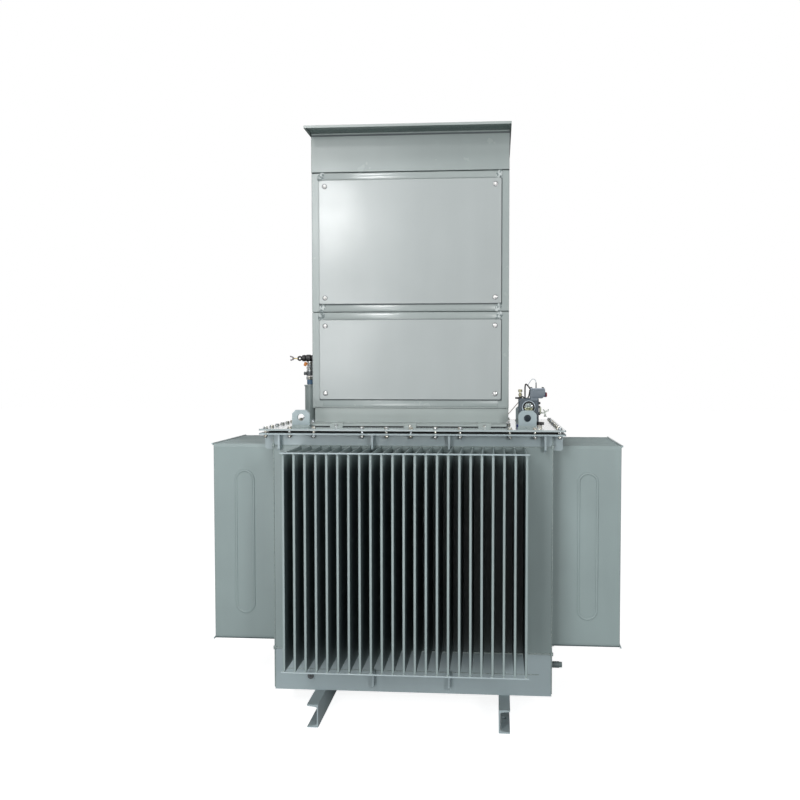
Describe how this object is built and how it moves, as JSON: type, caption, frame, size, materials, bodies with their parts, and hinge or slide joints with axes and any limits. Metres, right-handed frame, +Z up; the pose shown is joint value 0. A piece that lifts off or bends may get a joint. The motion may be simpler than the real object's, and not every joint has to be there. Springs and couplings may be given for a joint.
{
  "type": "power transformer",
  "caption": "Oil-filled power transformer: a sealed tank with folded cooling fins on all four sides, a bolted cover with lifting lugs, and a tall sheet-steel cable box on top.",
  "frame": {"origin": "on the ground under the middle of the tank", "axes": "+Z up, -Y towards the front with the protection relay, +X towards the side with the relay"},
  "size_m": [1.8666, 1.4726, 2.638],
  "materials": {
    "tank_paint": "semi-gloss grey-green enamel",
    "box_paint": "silky light grey-green coating",
    "gasket_rubber": "matt black cork-rubber",
    "valve_metal": "plated fittings",
    "black_plastic": "matt black moulded plastic",
    "relay_casing": "dark blue-grey moulded casing",
    "sight_glass": "clear sight glass",
    "terminal_plastic": "grey-violet moulded plastic",
    "cock_brass": "turned brass",
    "zinc_steel": "bright zinc plate"
  },
  "bodies": {
    "root": {"base_channel_left": "tank_paint", "base_channel_right": "tank_paint", "tank_floor": "tank_paint", "tank_skirt": "tank_paint", "front_wall": "tank_paint", "front_fins": "tank_paint", "front_fin_rods": "tank_paint", "front_rim_ribs": "tank_paint", "back_wall": "tank_paint", "back_fins": "tank_paint", "back_fin_rods": "tank_paint", "back_rim_ribs": "tank_paint", "left_wall": "tank_paint", "left_fins": "tank_paint", "left_fin_rods": "tank_paint", "left_rim_ribs": "tank_paint", "right_wall": "tank_paint", "right_fins": "tank_paint", "right_fin_rods": "tank_paint", "right_rim_ribs": "tank_paint", "front_skirt_ribs": "tank_paint", "back_skirt_ribs": "tank_paint", "tank_rim": "tank_paint", "cover_gasket": "gasket_rubber", "tank_cover": "tank_paint", "lifting_lug_front_left": "tank_paint", "lifting_lug_front_right": "tank_paint", "lifting_lug_back_left": "tank_paint", "lifting_lug_back_right": "tank_paint", "riser_gasket": "gasket_rubber", "box_riser": "tank_paint", "riser_clamps": "tank_paint", "box_left_side": "box_paint", "box_right_side": "box_paint", "box_front_lower_frame": "box_paint", "box_front_lower_panel": "box_paint", "box_front_upper_frame": "box_paint", "box_front_upper_panel": "box_paint", "box_front_header": "box_paint", "box_back_lower_frame": "box_paint", "box_back_lower_panel": "box_paint", "box_back_upper_frame": "box_paint", "box_back_upper_panel": "box_paint", "box_back_header": "box_paint", "box_panel_seals": "gasket_rubber", "box_roof": "box_paint", "filler_pipe": "tank_paint", "filler_valve": "valve_metal", "valve_knob": "black_plastic", "relay_body": "relay_casing", "relay_window": "sight_glass", "relay_terminal_box": "terminal_plastic", "relay_cable_gland": "black_plastic", "relay_cocks": "cock_brass", "thermometer_pocket_nut": "zinc_steel", "thermometer_pocket_cap": "black_plastic", "drain_valve": "tank_paint", "earth_terminals": "zinc_steel"}
  },
  "joints": []
}
